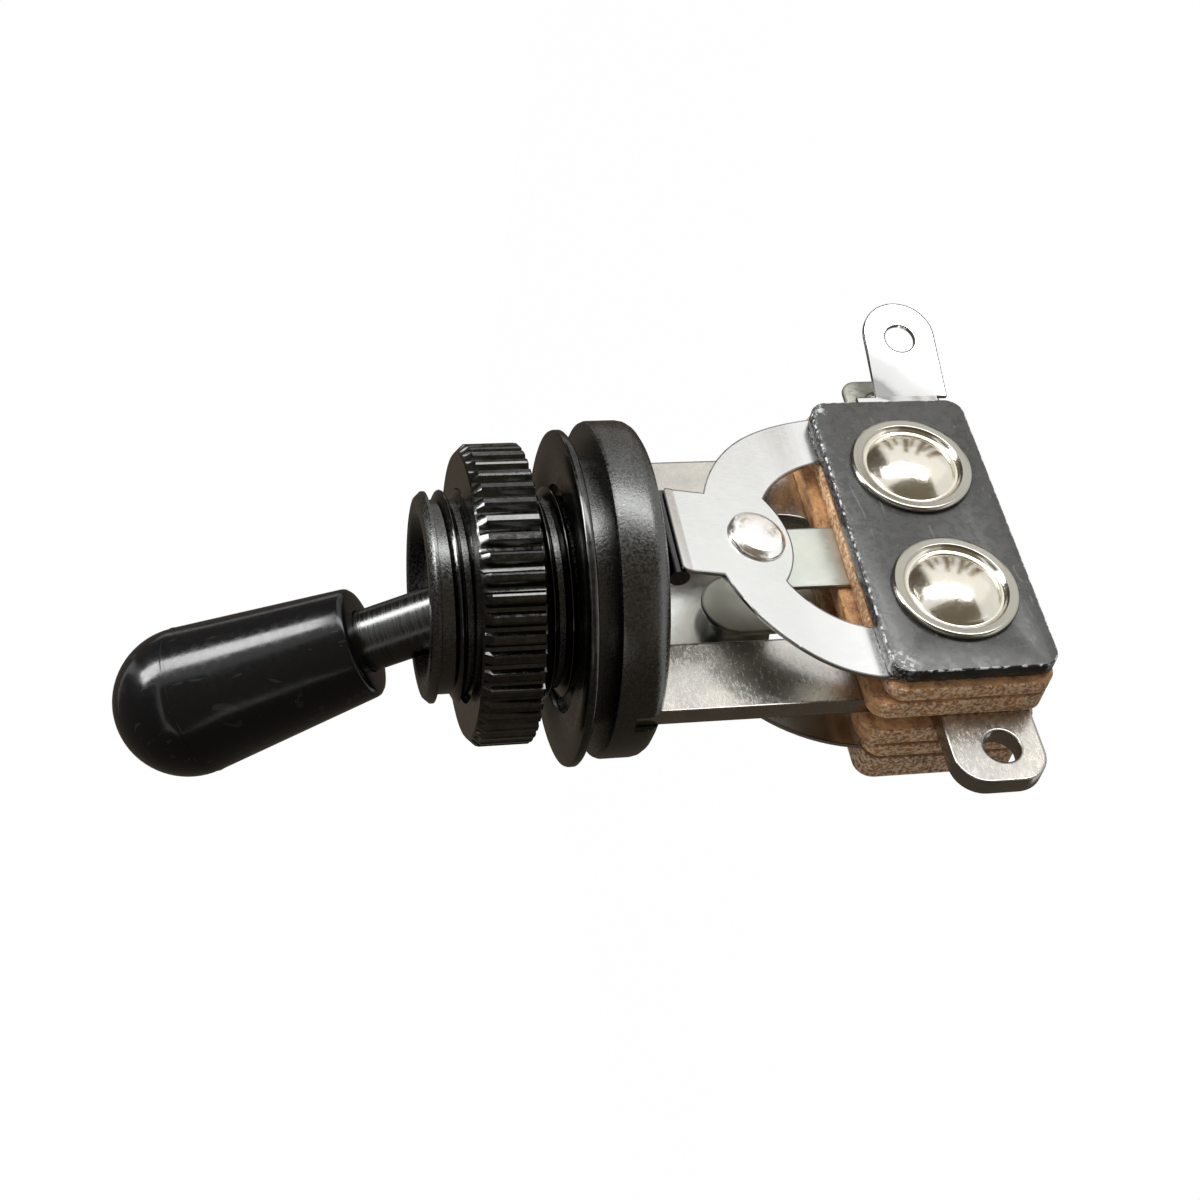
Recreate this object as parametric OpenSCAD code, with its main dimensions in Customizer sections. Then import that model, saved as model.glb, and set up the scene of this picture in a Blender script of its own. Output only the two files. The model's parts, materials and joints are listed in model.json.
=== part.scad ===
// Panel toggle switch with a threaded bushing, a black lever and open leaf contacts.
// Millimetres. Z runs along the bushing, out of the panel; Z = 0 is the outer face of
// the panel washer, where the back of the panel lies. The leaf contacts are stacked
// along Y, front towards -Y, and the lever swings in the YZ plane.

/* [Bushing] */
// Outside diameter of the thread
thread_d = 12; // [11.6:0.1:12.4]
// Thread above the washer
nose_h = 7.8; // [7.2:0.1:9]
// Chamfer at the nose
nose_chamfer = 0.4; // [0.2:0.1:0.9]
// Diameter of the mouth that the lever leans into
mouth_d = 9.2; // [8.8:0.1:9.6]
// Diameter of the waist round the lever's ball
waist_d = 5.6; // [5.5:0.1:5.8]
// Diameter of the rear opening in the flange
throat_d = 12.4; // [12:0.2:13.6]
// Diameter of the flange
flange_d = 19.2; // [18.6:0.2:20.4]
// Thickness of the flange
flange_t = 2.8; // [2.6:0.1:3.4]
// Rounding of the flange's rear edge
flange_round = 0.9; // [0.4:0.1:1]
// Diameter of the step that carries the washer
step_d = 15.2; // [14.6:0.2:16]
// Height of the step
step_h = 1.2; // [0.8:0.1:1.6]

/* [Nut and washer] */
// Diameter over the nut's flutes
nut_d = 17; // [16.4:0.2:18.4]
// Thickness of the nut
nut_h = 3.4; // [3:0.1:3.6]
// Number of flutes round the nut
flutes = 48; // [36:1:56]
// Panel thickness that the nut is set for
panel_gap = 2.04; // [1.8:0.02:2.4]
// Diameter of the washer
washer_d = 19.1; // [18.3:0.2:19.5]
// Hole in the washer, which hangs loose on the thread
washer_hole_d = 13; // [12.6:0.1:13.4]
// Thickness of the washer
washer_t = 0.5; // [0.4:0.05:0.8]

/* [Lever] */
// Height of the pivot above the washer's face
pivot_h = 3; // [2.8:0.05:3.1]
// Lean of the lever as it stands, and as far the other way
lean = 26; // [24:0.5:27]
// Diameter of the lever's outer rod
rod_d = 3.6; // [3.2:0.1:3.8]
// Diameter of the lever's ball
ball_d = 5.2; // [4.8:0.1:5.3]
// Diameter of the pivot pin
pin_d = 1.6; // [1.2:0.1:1.8]
// Pivot to the middle of the lever's crossbar
arm_l = 9.93; // [9.73:0.02:9.97]
// Diameter of the crossbar
bar_d = 1.2; // [1:0.05:1.2]
// Length of the crossbar
bar_l = 6; // [5:0.2:6.6]

/* [Tip] */
// Pivot to the base of the tip
tip_base = 8.45; // [7.95:0.1:9.45]
// Diameter of the tip's base
tip_base_d = 6.5; // [6:0.1:7]
// Diameter of the tip's domed end
tip_d = 8.7; // [8:0.1:9]
// Length of the tip
tip_l = 15.4; // [14:0.2:17]
// Depth of the rod in the tip
tip_bore = 9; // [7:0.5:10]

/* [Bracket] */
// Thickness of the bracket
bracket_t = 1.2; // [1:0.05:1.4]
// Width of the bracket
bracket_w = 18.4; // [17.8:0.1:19]
// Width of the window between its arms, which has a round end
window_w = 9.2; // [8.6:0.1:9.6]
// Washer's face to the end of the window
window_end = 18.5; // [18:0.1:19]
// Depth of the bracket in the flange's slot
slot_depth = 1.6; // [1.2:0.1:1.8]
// Width of the earth lug
earth_lug_w = 5.4; // [4.8:0.1:5.8]
// Reach of the earth lug from the switch's axis
earth_lug_reach = 15.1; // [14:0.1:17]
// Hole in the earth lug
earth_hole_d = 2.1; // [1.6:0.1:2.4]

/* [Contact stack] */
// Washer's face to the near edge of the stack
stack_start = 16.5; // [16:0.1:17]
// Height of the cover plates along the bushing axis
stack_h = 9.7; // [9.2:0.1:10.6]
// Width of the front cover plate
cover_w = 20.4; // [20:0.1:21.4]
// Thickness of the black front plate
front_plate_t = 0.97; // [0.8:0.01:1.4]
// Thickness of the brown rear plate
rear_plate_t = 1.8; // [1.2:0.05:2.2]
// Rounding of the plates' corners
corner_r = 1.1; // [0.6:0.1:1.6]
// How far the phenolic spacers stand out past the front plate's ends
spacer_overhang = 0.35; // [0:0.05:0.6]
// How far the inner spacers reach past the front plate, towards the bushing
spacer_step = 0.65; // [0:0.05:0.9]
// Thickness of the spacers beside the bracket
inner_spacer_t = 1.25; // [1.1:0.01:1.5]
// Thickness of the spacers under the moving leaves
outer_spacer_t = 0.95; // [0.85:0.01:1.2]

/* [Leaves] */
// Thickness of the moving leaves
leaf_t = 0.25; // [0.2:0.01:0.3]
// Radius of a moving leaf's outer edge
leaf_r = 9.8; // [9.4:0.05:10]
// Radius of the opening inside it
leaf_eye_r = 6.4; // [6:0.05:6.6]
// Radius of the contact pad in that opening
pad_r = 5.2; // [4.9:0.05:5.4]
// Centre of the pad above the edge of that opening
pad_rise = 3.4; // [3:0.1:3.8]
// Width of the tab that the crossbar lifts
tab_w = 6; // [5.8:0.1:6.6]
// Slope of the lifted leaf
leaf_slope = 11.7; // [11.3:0.1:11.9]
// Thickness of the fixed contacts
fixed_t = 0.3; // [0.25:0.01:0.4]
// Width of a fixed contact's blade
blade_w = 4.4; // [4.2:0.1:5]
// Diameter of the moving contacts' staked outer heads
contact_d = 3.5; // [3:0.1:3.8]
// Height of those heads
contact_h = 0.45; // [0.3:0.05:0.6]
// Reach of the outer lugs from the switch's axis
lug_reach = 18.2; // [17:0.1:20]
// Width of the outer lugs
lug_w = 4.6; // [4.2:0.1:5]
// Hole in each outer lug
lug_hole_d = 1.9; // [1.5:0.1:2.2]
// Outward bend of the outer lugs
lug_bend = 16; // [0:1:25]
// Reach of the inner lugs from the switch's axis
inner_lug_reach = 14.1; // [13.4:0.1:15]
// Hole in each inner lug
inner_hole_d = 1.6; // [1.2:0.1:2]

/* [Rivets] */
// Distance between the rivets
rivet_pitch = 9.32; // [9:0.02:9.8]
// Diameter of the rivet shank
shank_d = 3; // [2.6:0.1:3.2]
// Diameter of the rolled front head
head_d = 7.3; // [6.8:0.1:7.6]
// Height of the front head's rim
head_rim_t = 0.44; // [0.3:0.01:0.5]
// Height of the dome on the front head
head_dome_h = 1; // [0.7:0.05:1.2]
// Diameter of the plain rear head
rear_head_d = 5.6; // [5:0.1:6.4]
// Height of the plain rear head
rear_head_t = 0.65; // [0.5:0.05:0.9]
// Wall of the insulating sleeves
sleeve_wall = 0.5; // [0.4:0.05:0.6]

/* [Hidden] */
$fn = 64;

// clearances
slip = 0.1;      // loose fit of the sleeves, and of the washer where it hangs on the thread
run_fit = 0.04;  // radial running clearance of the lever on its pin
nut_play = 0.05; // radial play of the nut on the thread
assembly = 0.02; // gap between pieces that are pushed together
eps = 0.01;      // overshoot of a cut

washer_hang = 50; // way the loose washer hangs, from +Y towards -X

// bushing heights
step_top = -washer_t;
flange_top = step_top - step_h;
flange_rear = flange_top - flange_t;
slot_floor = flange_rear + slot_depth;
waist_half = ball_d / 4;

// layers of the stack, as distances from the middle plane
bracket_y = bracket_t / 2;
fixed_y = bracket_y + inner_spacer_t;
outer_spacer_y = fixed_y + fixed_t;
leaf_y = outer_spacer_y + outer_spacer_t;
cover_y = leaf_y + leaf_t;
front_face_y = cover_y + front_plate_t;
rear_face_y = cover_y + rear_plate_t;

// places in the plane of the stack
stack_top = -stack_start;
stack_bottom = stack_top - stack_h;
rivet_z = stack_top - stack_h / 2 - 0.14;
leaf_centre_z = stack_top - 1.3;
pad_centre_z = leaf_centre_z + leaf_eye_r + pad_rise;
contact_z = pad_centre_z - pad_r + 2.2;
arm_tip_z = pivot_h - arm_l * cos(lean);
root_z = stack_top;  // where a lifted leaf starts to bend
tab_end_z = arm_tip_z - 0.67;
lip_rise = 0.45;
lip_l = 0.6;
bend_l = 4;
leaf_bend_r = bend_l / sin(leaf_slope);
sleeve_r = shank_d / 2 + assembly + sleeve_wall;
blade_end_z = contact_z + contact_d / 2 + 0.3;
button_d = 2.4;
button_h = 0.52;    // height of the fixed contacts' buttons
closed_gap = 0.03;  // left between a moving contact and its button when they touch
contact_reach = outer_spacer_t - button_h - closed_gap;
stake_d = 1.4;      // shank of a moving contact
head_dome_r = head_d * 0.37;

// ---------------------------------------------------------------- helpers

// A plate of the 2D outline (X right, Y up = part Z), from depth y0 outwards, thickness t.
// Depth is measured to the front (-Y).
module slab(y0, t)
    translate([0, -y0, 0]) rotate([90, 0, 0]) linear_extrude(t) children();

// The same at the rear of the middle plane
module rear() mirror([0, 1, 0]) children();

// Rectangle from (x0, z0) to (x1, z1) with round corners
module rounded(x0, z0, x1, z1, r) {
    translate([x0 + r, z0]) square([x1 - x0 - 2 * r, z1 - z0]);
    translate([x0, z0 + r]) square([x1 - x0, z1 - z0 - 2 * r]);
    for (x = [x0 + r, x1 - r], z = [z0 + r, z1 - r])
        translate([x, z]) circle(r);
}

module at_rivets() for (s = [-1, 1]) translate([s * rivet_pitch / 2, rivet_z]) children();

// Turned profile round the Z axis, from z0 to z1
module cone_z(z0, z1, r0, r1) translate([0, 0, z0]) cylinder(h = z1 - z0, r1 = r0, r2 = r1);

// Everything that swings with the lever is drawn along +Z from the pivot
module leaned() translate([0, 0, pivot_h]) rotate([-lean, 0, 0]) children();

// ---------------------------------------------------------------- lever

module lever() color("#1b1b1d") leaned() {
    difference() {
        union() {
            cylinder(h = tip_base + tip_bore, d = rod_d);
            sphere(d = ball_d);
            translate([0, 0, -arm_l]) cylinder(h = arm_l, r1 = bar_d / 2, r2 = rod_d * 0.42);
            translate([0, 0, -arm_l]) rotate([0, 90, 0])
                cylinder(h = bar_l, d = bar_d, center = true);
        }
        rotate([0, 90, 0]) cylinder(h = ball_d + 1, r = pin_d / 2 + run_fit, center = true);
    }
}

// Moulded tip: a slow taper that runs into a round end
module lever_tip() color("#141415") leaned() {
    taper = atan((tip_d - tip_base_d) / 2 / (tip_l - tip_d / 2));
    dome_z = tip_base + tip_l - tip_d / 2;
    edge = 0.35;
    difference() {
        union() {
            translate([0, 0, tip_base])
                cylinder(h = edge, r1 = tip_base_d / 2 - edge, r2 = tip_base_d / 2);
            translate([0, 0, tip_base + edge])
                cylinder(h = dome_z - tip_d / 2 * sin(taper) - tip_base - edge,
                         r1 = tip_base_d / 2, r2 = tip_d / 2 * cos(taper));
            translate([0, 0, dome_z]) sphere(d = tip_d);
        }
        translate([0, 0, tip_base - eps])
            cylinder(h = tip_bore + eps + assembly, r = rod_d / 2 + assembly);
    }
}

module pivot_pin() color("#9a9a98")
    translate([0, 0, pivot_h]) rotate([0, 90, 0])
        cylinder(h = thread_d - 1.3, d = pin_d, center = true);

// ---------------------------------------------------------------- bushing, nut, washer

module flange_body() rotate_extrude() {
    difference() {
        translate([0, flange_rear]) square([flange_d / 2, flange_t]);
        translate([flange_d / 2 - flange_round, flange_rear - eps])
            square([flange_round + eps, flange_round + eps]);
    }
    translate([flange_d / 2 - flange_round, flange_rear + flange_round]) circle(flange_round);
}

module bushing() color("#202022") {
    difference() {
        union() {
            cone_z(flange_top, nose_h - nose_chamfer, thread_d / 2, thread_d / 2);
            cone_z(nose_h - nose_chamfer, nose_h, thread_d / 2, thread_d / 2 - nose_chamfer);
            cone_z(flange_top - eps, step_top, step_d / 2, step_d / 2);
            flange_body();
        }
        // waist, mouth and throat
        cone_z(pivot_h - waist_half - eps, pivot_h + waist_half + eps, waist_d / 2, waist_d / 2);
        cone_z(pivot_h + waist_half, nose_h + eps, waist_d / 2, mouth_d / 2);
        cone_z(step_top, pivot_h - waist_half, thread_d / 2 - 1.2, waist_d / 2);
        cone_z(flange_rear - eps, step_top + eps, throat_d / 2, thread_d / 2 - 1.2);
        // hole for the pivot pin
        translate([0, 0, pivot_h]) rotate([0, 90, 0])
            cylinder(h = thread_d + 1, r = pin_d / 2 + assembly / 2, center = true);
        // slot that holds the bracket
        translate([-flange_d, -bracket_y - assembly, flange_rear - eps])
            cube([2 * flange_d, bracket_t + 2 * assembly, slot_depth + eps]);
    }
}

// Round nut with straight flutes and bevelled rims
module knurled_nut() color("#17171a") {
    bevel = 0.5;
    rear_bevel = 0.1;
    flute_r = nut_d * PI / flutes * 0.34;
    intersection() {
        translate([0, 0, panel_gap]) linear_extrude(nut_h) difference() {
            circle(nut_d / 2);
            circle(thread_d / 2 + nut_play);
            for (i = [0:flutes - 1]) rotate(i * 360 / flutes)
                translate([nut_d / 2, 0]) circle(flute_r, $fn = 24);
        }
        union() {
            cone_z(panel_gap, panel_gap + rear_bevel, nut_d / 2 - rear_bevel, nut_d / 2);
            cone_z(panel_gap + rear_bevel, panel_gap + nut_h - bevel, nut_d / 2, nut_d / 2);
            cone_z(panel_gap + nut_h - bevel, panel_gap + nut_h, nut_d / 2, nut_d / 2 - bevel);
        }
    }
}

// The loose washer hangs off centre, as the switch lies on its side
module panel_washer() color("#26262a")
    translate((washer_hole_d / 2 - thread_d / 2 - slip) * [-sin(washer_hang), cos(washer_hang), 0])
        difference() {
            cone_z(-washer_t, 0, washer_d / 2, washer_d / 2);
            cone_z(-washer_t - eps, eps, washer_hole_d / 2, washer_hole_d / 2);
        }

// ---------------------------------------------------------------- bracket

earth_lug_z = stack_bottom + 0.85 + earth_lug_w / 2;

module bracket_outline() difference() {
    union() {
        translate([-bracket_w / 2, stack_bottom + corner_r])
            square([bracket_w, slot_floor - assembly - stack_bottom - corner_r]);
        rounded(-bracket_w / 2, stack_bottom, bracket_w / 2, stack_top, corner_r);
        // earth lug
        rounded(-earth_lug_reach, earth_lug_z - earth_lug_w / 2,
                0, earth_lug_z + earth_lug_w / 2, 1.8);
    }
    // window, open towards the bushing, with its round end inside the stack
    translate([-window_w / 2, -window_end + window_w / 2]) square([window_w, window_end]);
    translate([0, -window_end + window_w / 2]) circle(d = window_w);
    at_rivets() circle(sleeve_r + slip);
    translate([-earth_lug_reach + 2.3, earth_lug_z - 0.3]) circle(d = earth_hole_d);
}

module bracket() color("#c9c7c2") slab(-bracket_y, bracket_t) bracket_outline();

// ---------------------------------------------------------------- insulating layers

module spacer_outline(rise) difference() {
    rounded(-cover_w / 2 - spacer_overhang, stack_bottom,
            cover_w / 2 + spacer_overhang, stack_top + rise, corner_r);
    at_rivets() circle(sleeve_r + slip);
}

module cover_outline(overhang) difference() {
    rounded(-cover_w / 2 - overhang, stack_bottom, cover_w / 2 + overhang, stack_top, corner_r);
    at_rivets() circle(shank_d / 2 + assembly);
}

module inner_spacer() color("#b9773f") slab(bracket_y, inner_spacer_t) spacer_outline(spacer_step);
module outer_spacer() color("#b9773f") slab(outer_spacer_y, outer_spacer_t) spacer_outline(0);

module front_inner_spacer() inner_spacer();
module front_outer_spacer() outer_spacer();
module rear_inner_spacer() rear() inner_spacer();
module rear_outer_spacer() rear() outer_spacer();

module front_plate() color("#26272a") slab(cover_y, front_plate_t) cover_outline(0);
module rear_plate() rear() color("#a5713f")
    slab(cover_y, rear_plate_t) cover_outline(spacer_overhang);

// ---------------------------------------------------------------- fixed contacts

inner_lug_z = stack_bottom + 2 + 2.1;

module fixed_outline() difference() {
    union() {
        rounded(-cover_w / 2 + 0.8, stack_bottom + 0.5, cover_w / 2 - 0.8, stack_top - 0.4, 0.8);
        // blade with a half-round end
        translate([-blade_w / 2, stack_top - 2])
            square([blade_w, blade_end_z - blade_w / 2 - stack_top + 2]);
        translate([0, blade_end_z - blade_w / 2]) circle(d = blade_w);
        // inner lug
        rounded(0, inner_lug_z - 2.1, inner_lug_reach, inner_lug_z + 2.1, 1);
    }
    at_rivets() circle(sleeve_r + slip);
    translate([inner_lug_reach - 1.9, inner_lug_z]) circle(d = inner_hole_d);
}

module fixed_contact() color("#d8d3c4") slab(fixed_y, fixed_t) fixed_outline();
module front_fixed_contact() fixed_contact();
module rear_fixed_contact() rear() fixed_contact();

// Silver button on each blade, under the moving contact
module contact_button() color("#e4e2dc")
    translate([0, -outer_spacer_y, contact_z]) rotate([90, 0, 0]) {
        cylinder(h = button_h * 0.6, d = button_d);
        translate([0, 0, button_h * 0.6])
            cylinder(h = button_h * 0.4, d1 = button_d, d2 = button_d * 0.7);
    }
module front_contact_button() contact_button();
module rear_contact_button() rear() contact_button();

// ---------------------------------------------------------------- moving leaves

lug_z = stack_bottom + 0.15 + lug_w / 2;
lug_root_x = cover_w / 2 + 1.3;

// Outline of the whole leaf but its lug: the clamped part, a ring, a pad and the tab
module leaf_outline() difference() {
    union() {
        rounded(-cover_w / 2 + 0.4, stack_bottom + 0.3, cover_w / 2 - 0.4,
                leaf_centre_z + 0.8, 0.8);
        square_from(0, lug_z - lug_w / 2 + 0.6, lug_root_x, lug_z + lug_w / 2 + 1.3);
        intersection() {
            translate([0, leaf_centre_z]) circle(leaf_r);
            square_from(-leaf_r, leaf_centre_z, leaf_r, leaf_centre_z + leaf_r + 1);
        }
        rounded(-tab_w / 2, leaf_centre_z + leaf_r - 2, tab_w / 2, tab_end_z + lip_l, 0.3);
    }
    // eye, which ends just inside the stack
    difference() {
        translate([0, leaf_centre_z]) circle(leaf_eye_r);
        translate([0, pad_centre_z]) circle(pad_r);
        square_from(-leaf_r, stack_bottom, leaf_r, stack_top - 0.8);
    }
    at_rivets() circle(sleeve_r + slip);
}

module square_from(x0, z0, x1, z1) translate([x0, z0]) square([x1 - x0, z1 - z0]);

// Side view of the leaf. a = slope of its straight part, 0 when it lies flat.
// d = distance from the root, towards the bushing.
function leaf_lift(d, a) =
    a == 0 || d <= 0 ? 0 :
    d < bend_l ? leaf_bend_r - sqrt(leaf_bend_r * leaf_bend_r - d * d) :
    leaf_bend_r - sqrt(leaf_bend_r * leaf_bend_r - bend_l * bend_l) + (d - bend_l) * tan(a);
tab_l = tab_end_z - root_z;
function leaf_curve(a) = concat(
    [[stack_bottom - root_z - 1, 0], [0, 0]],
    a == 0 ? [] : [for (i = [1:8]) [bend_l * i / 8, leaf_lift(bend_l * i / 8, a)]],
    [[tab_l, leaf_lift(tab_l, a)]],
    [[tab_l + lip_l + 0.2, leaf_lift(tab_l, a) + (lip_l + 0.2) * (tan(a) / 2 + lip_rise * 0.72)]]
);

// The sheet that the outline is cut from, as wide as the stack and bent to the side view
module bent_sheet(a) {
    line = leaf_curve(a);
    n = len(line);
    side = concat(line, [for (i = [n - 1:-1:0]) line[i] + [0, leaf_t]]);
    translate([-cover_w, 0, root_z]) rotate([90, 0, 90]) linear_extrude(2 * cover_w)
        polygon([for (p = side) [-(leaf_y + p[1]), p[0]]]);
}

// Place of the contact on a leaf's inner face, with Z pointing away from the stack
module at_contact(a)
    translate([0, -leaf_y - leaf_lift(contact_z - root_z, a), contact_z])
        rotate([90 + a, 0, 0]) children();

module moving_leaf(a) color("#dcdcd8") {
    difference() {
        intersection() {
            slab(leaf_y - 1, 3 * leaf_y) leaf_outline();
            bent_sheet(a);
        }
        at_contact(a) cylinder(h = 3, d = stake_d + 2 * assembly, center = true);
    }
    lug();
}

// Silver contact: a head under the leaf, a shank through it and a staked head outside
module moving_contact(a) color("#e4e2dc") at_contact(a) {
    translate([0, 0, -contact_reach]) cylinder(h = contact_reach - assembly, d = button_d);
    translate([0, 0, -contact_reach / 2])
        cylinder(h = contact_reach / 2 + leaf_t + contact_h / 2, d = stake_d);
    translate([0, 0, leaf_t]) cylinder(h = contact_h * 0.4, d1 = contact_d, d2 = contact_d);
    translate([0, 0, leaf_t + contact_h * 0.4])
        cylinder(h = contact_h * 0.6, d1 = contact_d, d2 = contact_d * 0.76);
}

// Lug, bent outwards along a line beside the stack
module lug() {
    l = lug_reach - lug_root_x;
    translate([lug_root_x, -leaf_y, 0]) rotate([0, 0, -lug_bend]) rotate([90, 0, 0])
        linear_extrude(leaf_t) difference() {
            union() {
                translate([0, lug_z - lug_w / 2]) square([l - lug_w / 2, lug_w]);
                translate([l - lug_w / 2, lug_z]) circle(d = lug_w);
            }
            translate([l - lug_w / 2 - 0.25, lug_z]) circle(d = lug_hole_d);
        }
}

module front_moving_leaf() moving_leaf(leaf_slope);
module rear_moving_leaf() rear() moving_leaf(0);
module front_moving_contact() moving_contact(leaf_slope);
module rear_moving_contact() rear() moving_contact(0);

// ---------------------------------------------------------------- rivets

// Rolled front head: a round-edged rim, a groove and a crimped dome
module front_head() rotate([90, 0, 0]) {
    groove_w = head_d * 0.05;
    crown_h = head_dome_h * 0.6;
    crown_r = (head_dome_r * head_dome_r + crown_h * crown_h) / (2 * crown_h);
    dent_r = head_dome_r * 0.6;
    difference() {
        rotate_extrude() {
            square([(head_d - head_rim_t) / 2, head_rim_t]);
            translate([(head_d - head_rim_t) / 2, head_rim_t / 2]) circle(head_rim_t / 2);
        }
        translate([0, 0, head_rim_t * 0.4]) difference() {
            cylinder(h = head_rim_t, r = head_dome_r + groove_w / 2);
            translate([0, 0, -eps]) cylinder(h = head_rim_t * 2, r = head_dome_r - groove_w / 2);
        }
    }
    difference() {
        intersection() {
            cylinder(h = head_dome_h, r = head_dome_r);
            translate([0, 0, head_dome_h - crown_r]) sphere(r = crown_r);
        }
        translate([0, 0, head_dome_h + dent_r * 0.8]) sphere(r = dent_r);
        for (i = [0:7]) rotate(i * 45 + 22.5)
            translate([head_dome_r * 0.95, 0, head_dome_h * 0.7])
                rotate([0, 90, 0])
                    cylinder(h = head_dome_r * 0.6, r = head_d * 0.03, center = true, $fn = 16);
    }
}

module rivet() color("#cfc9ba") {
    translate([0, rear_face_y, 0]) rotate([90, 0, 0])
        cylinder(h = rear_face_y + front_face_y, d = shank_d);
    translate([0, -front_face_y, 0]) front_head();
    translate([0, rear_face_y, 0]) rotate([-90, 0, 0]) {
        cylinder(h = rear_head_t * 0.55, d = rear_head_d);
        translate([0, 0, rear_head_t * 0.55])
            cylinder(h = rear_head_t * 0.45, d1 = rear_head_d, d2 = rear_head_d * 0.82);
    }
}

module sleeve() color("#d9d2bd") rotate([90, 0, 0]) difference() {
    cylinder(h = 2 * cover_y, r = sleeve_r, center = true);
    cylinder(h = 3 * cover_y, r = shank_d / 2 + assembly, center = true);
}

module left_rivet() translate([-rivet_pitch / 2, 0, rivet_z]) rivet();
module right_rivet() translate([rivet_pitch / 2, 0, rivet_z]) rivet();
module left_sleeve() translate([-rivet_pitch / 2, 0, rivet_z]) sleeve();
module right_sleeve() translate([rivet_pitch / 2, 0, rivet_z]) sleeve();

// ---------------------------------------------------------------- nodes

lever_tip();
lever();
pivot_pin();
bushing();
knurled_nut();
panel_washer();
bracket();
front_plate();
rear_plate();
front_moving_leaf();
rear_moving_leaf();
front_moving_contact();
rear_moving_contact();
front_fixed_contact();
rear_fixed_contact();
front_contact_button();
rear_contact_button();
front_outer_spacer();
front_inner_spacer();
rear_inner_spacer();
rear_outer_spacer();
left_rivet();
right_rivet();
left_sleeve();
right_sleeve();
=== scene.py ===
"""Looks for a panel toggle switch: bushing, nut, lever and an open stack of leaf contacts."""

import json
import math

import bmesh
import bpy
from bpy.props import FloatProperty, FloatVectorProperty, IntProperty, PointerProperty
from bpy.types import Operator, Panel, PropertyGroup
from mathutils import Matrix, Vector


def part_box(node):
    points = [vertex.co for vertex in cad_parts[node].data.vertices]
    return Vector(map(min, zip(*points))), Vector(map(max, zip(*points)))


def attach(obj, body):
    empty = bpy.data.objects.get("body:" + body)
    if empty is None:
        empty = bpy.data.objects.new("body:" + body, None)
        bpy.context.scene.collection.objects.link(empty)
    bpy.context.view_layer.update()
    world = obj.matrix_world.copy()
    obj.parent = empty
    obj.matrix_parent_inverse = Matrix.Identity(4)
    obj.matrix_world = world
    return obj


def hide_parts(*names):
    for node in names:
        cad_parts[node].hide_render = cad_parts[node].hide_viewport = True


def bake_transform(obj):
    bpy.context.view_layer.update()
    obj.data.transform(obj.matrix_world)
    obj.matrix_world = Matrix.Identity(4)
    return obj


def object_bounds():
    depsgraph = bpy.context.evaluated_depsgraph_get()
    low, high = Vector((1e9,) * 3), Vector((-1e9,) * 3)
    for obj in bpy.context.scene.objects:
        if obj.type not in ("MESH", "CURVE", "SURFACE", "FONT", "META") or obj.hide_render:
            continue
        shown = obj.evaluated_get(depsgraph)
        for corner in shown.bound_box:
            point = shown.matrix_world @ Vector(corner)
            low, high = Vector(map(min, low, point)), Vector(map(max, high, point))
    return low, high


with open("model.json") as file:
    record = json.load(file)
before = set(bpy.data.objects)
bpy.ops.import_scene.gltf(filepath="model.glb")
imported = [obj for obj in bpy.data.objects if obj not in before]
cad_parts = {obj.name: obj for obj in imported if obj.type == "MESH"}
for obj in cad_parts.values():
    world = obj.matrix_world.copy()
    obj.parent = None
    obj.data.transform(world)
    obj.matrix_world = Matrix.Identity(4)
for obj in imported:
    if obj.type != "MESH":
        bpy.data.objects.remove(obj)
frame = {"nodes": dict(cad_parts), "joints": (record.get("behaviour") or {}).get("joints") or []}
CAD_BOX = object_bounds()

bl_info = {
    "name": "Panel Toggle Switch",
    "version": (1, 0, 0),
    "blender": (4, 5, 0),
    "location": "View3D > Sidebar > Switch",
    "description": "Dresses a panel toggle switch: thread, knurl, rivets, leaves and finishes",
    "category": "Object",
}

MM = 0.001            # one millimetre in metres; profiles of turned pieces are in millimetres
NOSE_R = 6.0          # outside radius of the bushing's thread, in millimetres
BORDER = 0.085        # width of the burnished border of bright sheets, in millimetres
CUT_SIDE, BORDERED, ROUNDED = 0.5, 0.8, 1.0    # what the "edge" attribute says of a face


def joint(name):
    """The named joint of the frame."""
    return next(j for j in frame["joints"] if j["name"] == name)


PIVOT = Vector(joint("lever_swing")["pos_m"])


# ---------------------------------------------------------------- settings


class SwitchShape(PropertyGroup):
    """Sizes of the details that the frame leaves plain"""

    lean: FloatProperty(
        name="Lean", description="Angle of the lever from the bushing's axis",
        default=math.radians(26), unit="ROTATION")
    thread_pitch: FloatProperty(
        name="Thread pitch", description="Distance from crest to crest",
        default=1.0 * MM, unit="LENGTH")
    thread_depth: FloatProperty(
        name="Thread depth", description="Height of a crest above its groove",
        default=0.55 * MM, unit="LENGTH")
    nut_teeth: IntProperty(
        name="Nut teeth", description="Ridges round the nut", default=48, min=24, max=64)
    tooth_depth: FloatProperty(
        name="Tooth depth", description="Depth of the grooves round the nut",
        default=0.42 * MM, unit="LENGTH")
    plate_edge: FloatProperty(
        name="Sheet edge", description="Softening of the edges of cut sheets",
        default=0.07 * MM, unit="LENGTH")


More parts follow.
